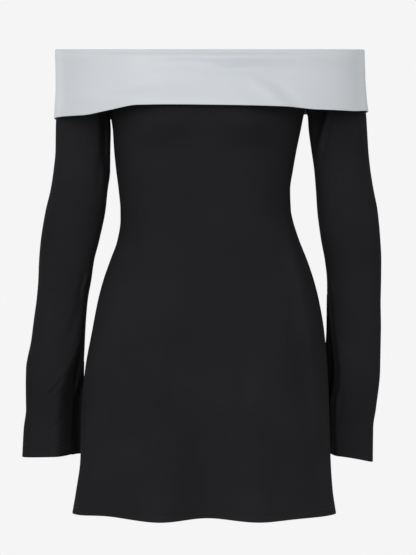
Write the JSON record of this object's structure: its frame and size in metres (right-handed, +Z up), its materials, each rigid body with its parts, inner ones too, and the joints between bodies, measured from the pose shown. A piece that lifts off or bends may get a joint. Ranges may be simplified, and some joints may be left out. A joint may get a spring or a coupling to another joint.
{
  "type": "off-shoulder dress",
  "caption": "Off-shoulder mini dress in black stretch jersey with long sleeves, a flared skirt and a pale collar folded over outwards all round.",
  "frame": {"origin": "middle of the neckline opening, at the height of the collar's fold at the upper arms", "axes": "+Z up along the wearer's body, -Y the front of the dress, +X the wearer's left"},
  "size_m": [0.527, 0.2322, 0.6753],
  "materials": {
    "black_jersey": "smooth matt stretch jersey",
    "pale_satin": "soft pale grey satin-backed crepe with a slight sheen"
  },
  "bodies": {
    "root": {"dress_front_yoke": "black_jersey", "dress_front_bodice": "black_jersey", "dress_front_hips": "black_jersey", "dress_front_skirt": "black_jersey", "dress_front_hem": "black_jersey", "dress_back_yoke": "black_jersey", "dress_back_bodice": "black_jersey", "dress_back_hips": "black_jersey", "dress_back_skirt": "black_jersey", "dress_back_hem": "black_jersey", "sleeve_right_top": "black_jersey", "sleeve_right_upper": "black_jersey", "sleeve_right_fore": "black_jersey", "sleeve_right_cuff": "black_jersey", "sleeve_left_top": "black_jersey", "sleeve_left_upper": "black_jersey", "sleeve_left_fore": "black_jersey", "sleeve_left_cuff": "black_jersey", "collar_front_right": "pale_satin", "collar_front_middle": "pale_satin", "collar_front_left": "pale_satin", "collar_back_right": "pale_satin", "collar_back_middle": "pale_satin", "collar_back_left": "pale_satin"}
  },
  "joints": []
}
